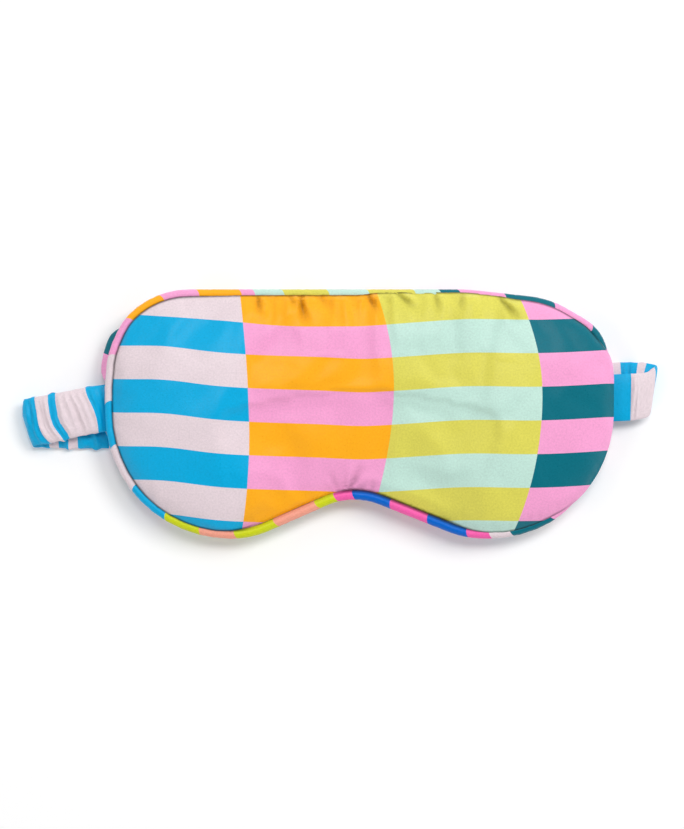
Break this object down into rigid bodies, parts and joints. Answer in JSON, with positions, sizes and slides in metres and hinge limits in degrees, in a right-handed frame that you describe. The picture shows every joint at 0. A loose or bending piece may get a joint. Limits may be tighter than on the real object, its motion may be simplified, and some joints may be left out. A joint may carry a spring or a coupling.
{
  "type": "sleep mask",
  "caption": "Padded satin sleep mask with corded piping, a shaped nose bridge and a gathered elastic head strap folded behind it.",
  "frame": {"origin": "underside of the strap behind the middle of the mask, where the mask rests on a table face up", "axes": "+X across the face towards the wearer's left ear, +Y towards the brow, +Z away from the face"},
  "size_m": [0.2612, 0.1024, 0.021],
  "materials": {
    "print_satin": "printed satin, soft sheen",
    "back_satin": "printed satin, soft sheen",
    "padding": "white fibre wadding",
    "blackout_lining": "matt black woven lining",
    "piping_satin": "printed satin bias strip",
    "piping_cord": "twisted cotton filler cord",
    "strap_satin": "gathered printed satin",
    "elastic": "woven flat elastic",
    "thread": "polyester sewing thread"
  },
  "bodies": {
    "right_half": {"front_panel_right": "print_satin", "back_panel_right": "back_satin", "padding_right": "padding", "blackout_lining_right": "blackout_lining", "piping_right": "piping_satin", "piping_cord_right": "piping_cord", "sleeve_end_right": "strap_satin", "sleeve_back_right": "strap_satin", "elastic_end_right": "elastic", "elastic_back_right": "elastic", "bartack_right": "thread", "closing_stitches_right": "thread"},
    "right_loop": {"sleeve_loop_right": "strap_satin", "elastic_loop_right": "elastic"},
    "left_half": {"front_panel_left": "print_satin", "back_panel_left": "back_satin", "padding_left": "padding", "blackout_lining_left": "blackout_lining", "piping_left": "piping_satin", "piping_cord_left": "piping_cord", "sleeve_end_left": "strap_satin", "sleeve_back_left": "strap_satin", "elastic_end_left": "elastic", "elastic_back_left": "elastic", "bartack_left": "thread", "closing_stitches_left": "thread"},
    "left_loop": {"sleeve_loop_left": "strap_satin", "elastic_loop_left": "elastic"}
  },
  "joints": [
    {"name": "mask_fold", "type": "hinge", "parent": "right_half", "child": "left_half", "pos_m": [-0.001, 0, 0.0213], "axis": [0, 1, 0], "range_deg": [0, 150]},
    {"name": "right_strap_stretch", "type": "slide", "parent": "right_half", "child": "right_loop", "axis": [1, 0, 0], "range_m": [0, 0.05]},
    {"name": "left_strap_stretch", "type": "slide", "parent": "left_half", "child": "left_loop", "axis": [-1, 0, 0], "range_m": [0, 0.05]}
  ]
}
